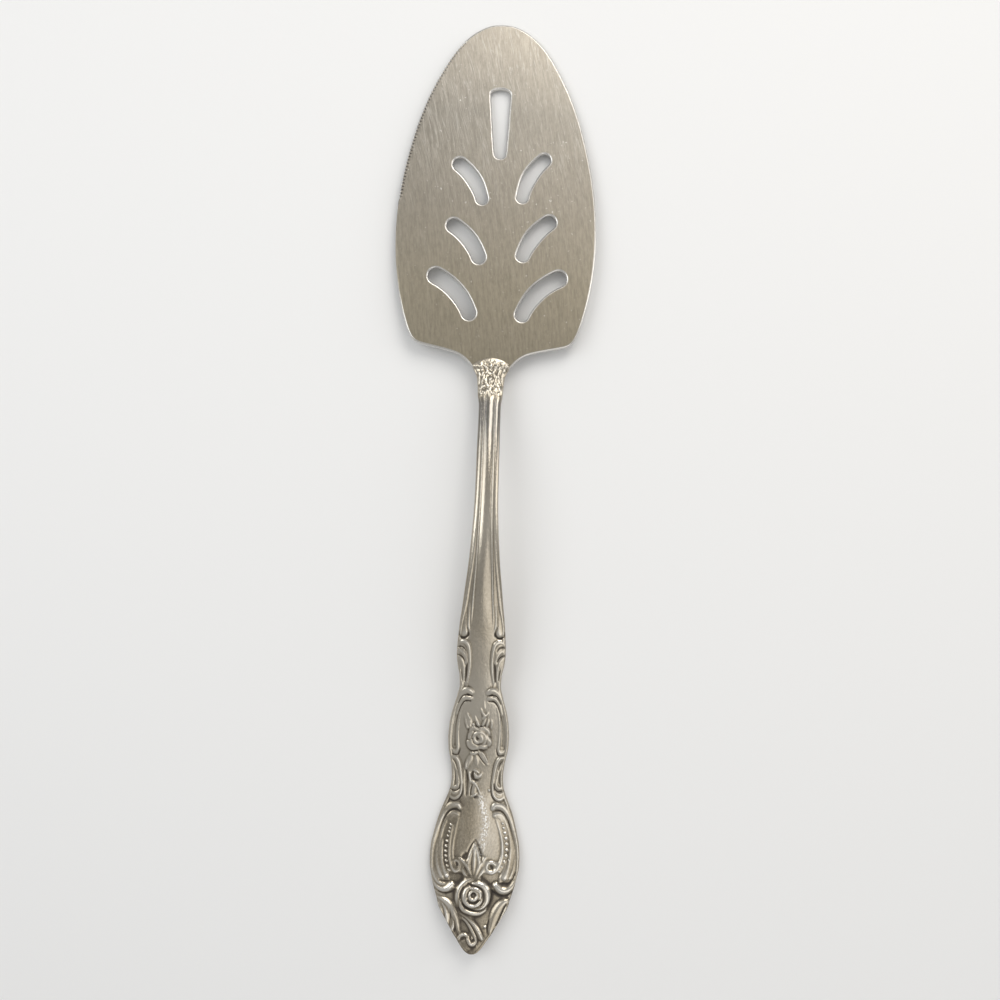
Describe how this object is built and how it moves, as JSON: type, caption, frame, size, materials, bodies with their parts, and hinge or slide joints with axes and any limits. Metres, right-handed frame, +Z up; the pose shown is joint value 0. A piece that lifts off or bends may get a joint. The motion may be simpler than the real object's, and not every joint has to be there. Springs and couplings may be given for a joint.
{
  "type": "pie server",
  "caption": "One-piece metal pie server with a pierced flat blade, one toothed edge, and an arched handle with relief ornament.",
  "frame": {"origin": "centre of the footprint of the piece as it lies on its underside, on the surface it lies on", "axes": "+Y along the length from the handle end to the blade tip, +X across the blade away from the toothed edge, +Z up, with the ornament on top"},
  "size_m": [0.0562, 0.26, 0.0145],
  "materials": {
    "pie_server": "satin brushed blade, polished handle with darkened recesses"
  },
  "bodies": {
    "root": {"pie_server": "pie_server"}
  },
  "joints": []
}
